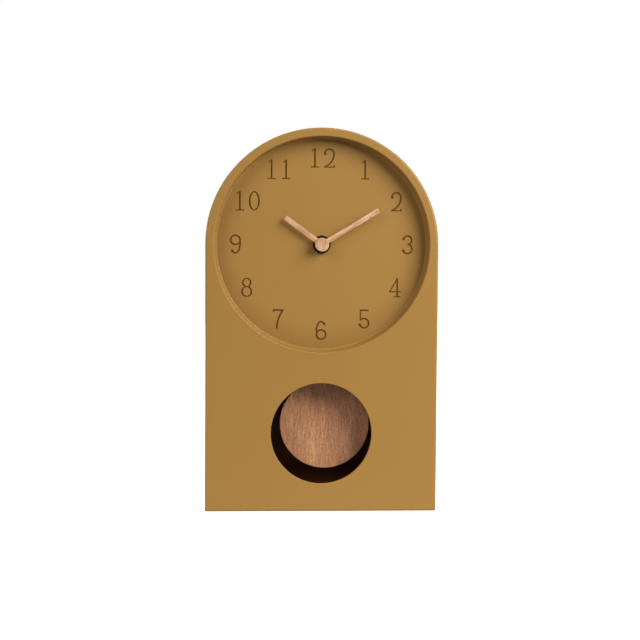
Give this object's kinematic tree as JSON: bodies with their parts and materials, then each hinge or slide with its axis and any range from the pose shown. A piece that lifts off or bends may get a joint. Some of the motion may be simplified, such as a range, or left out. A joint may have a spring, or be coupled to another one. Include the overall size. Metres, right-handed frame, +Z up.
{
  "type": "desk pendulum clock",
  "caption": "Free-standing arched desk clock with a recessed numbered dial, wooden hands and a wooden pendulum disc that swings behind a round window.",
  "frame": {"origin": "on the table, below the middle of the case", "axes": "+Z up, +Y from the dial to the back, +X to the right seen from the front"},
  "size_m": [0.182, 0.06, 0.301],
  "materials": {
    "case_paint": "matte mustard yellow paint",
    "light_wood": "pale wood, plain",
    "bob_wood": "oiled wood with an upright grain",
    "black_plastic": "black moulded plastic",
    "black_nut": "glossy black",
    "wheel_plastic": "off-white nylon",
    "rotor_magnet": "dark grey bonded magnet",
    "steel": "plain steel",
    "screw_steel": "zinc plated",
    "brass_bush": "turned brass",
    "copper_wire": "enamelled copper wire",
    "board_green": "green circuit board",
    "chip_black": "black resin",
    "bright_metal": "nickel plated",
    "battery_sleeve": "plain dark sleeve, unmarked",
    "black_rubber": "black rubber"
  },
  "bodies": {
    "case": {"battery": "battery_sleeve", "case_shell": "case_paint", "circuit_board": "board_green", "control_chip": "chip_black", "dial_plate": "case_paint", "drive_coil": "copper_wire", "fixing_nut": "black_nut", "foot_pads": "black_rubber", "motor_coil": "copper_wire", "motor_core": "steel", "movement_cover": "black_plastic", "movement_housing": "black_plastic", "negative_contact": "bright_metal", "pendulum_pivot": "steel", "positive_contact": "bright_metal", "quartz_crystal": "bright_metal", "rear_cover": "case_paint", "rear_cover_screws": "screw_steel", "rubber_washer": "black_rubber", "stator": "steel", "threaded_bush": "brass_bush"},
    "minute": {"minute_arbor": "steel", "minute_hand": "light_wood", "hand_cap": "light_wood"},
    "hour": {"hour_wheel": "wheel_plastic", "hour_hand": "light_wood"},
    "setting": {"minute_wheel": "wheel_plastic", "setting_knob": "black_plastic"},
    "centre": {"centre_wheel": "wheel_plastic"},
    "third": {"third_wheel": "wheel_plastic"},
    "fourth": {"fourth_wheel": "wheel_plastic"},
    "rotor": {"rotor": "rotor_magnet"},
    "pendulum": {"pendulum_hanger": "black_plastic", "pendulum_magnet": "bright_metal", "pendulum_rod": "steel", "pendulum_bob": "bob_wood", "bob_screws": "screw_steel"}
  },
  "joints": [
    {"name": "minute_turn", "type": "hinge", "parent": "case", "child": "minute", "pos_m": [0, 0, 0.21], "axis": [0, 1, 0], "continuous": true},
    {"name": "hour_turn", "type": "hinge", "parent": "case", "child": "hour", "pos_m": [0, 0, 0.21], "axis": [0, 1, 0], "continuous": true},
    {"name": "setting_turn", "type": "hinge", "parent": "case", "child": "setting", "pos_m": [0.0123, 0, 0.21], "axis": [0, 1, 0], "continuous": true},
    {"name": "centre_turn", "type": "hinge", "parent": "case", "child": "centre", "pos_m": [0, 0, 0.21], "axis": [0, 1, 0], "continuous": true},
    {"name": "third_turn", "type": "hinge", "parent": "case", "child": "third", "pos_m": [-0.00841, 0, 0.20159], "axis": [0, 1, 0], "continuous": true},
    {"name": "fourth_turn", "type": "hinge", "parent": "case", "child": "fourth", "pos_m": [-0.00078, 0, 0.19395], "axis": [0, 1, 0], "continuous": true},
    {"name": "rotor_turn", "type": "hinge", "parent": "case", "child": "rotor", "pos_m": [0.00754, 0, 0.19278], "axis": [0, 1, 0], "continuous": true},
    {"name": "pendulum_swing", "type": "hinge", "parent": "case", "child": "pendulum", "pos_m": [0, 0, 0.176], "axis": [0, 1, 0], "range_deg": [-3.1, 6.9]}
  ],
  "couplings": [
    {"joint": "hour_turn", "follows": "minute_turn", "ratio": 0.083333},
    {"joint": "setting_turn", "follows": "minute_turn", "ratio": -0.33333},
    {"joint": "centre_turn", "follows": "fourth_turn", "ratio": 0.016667},
    {"joint": "third_turn", "follows": "fourth_turn", "ratio": -0.125},
    {"joint": "rotor_turn", "follows": "fourth_turn", "ratio": -6}
  ]
}
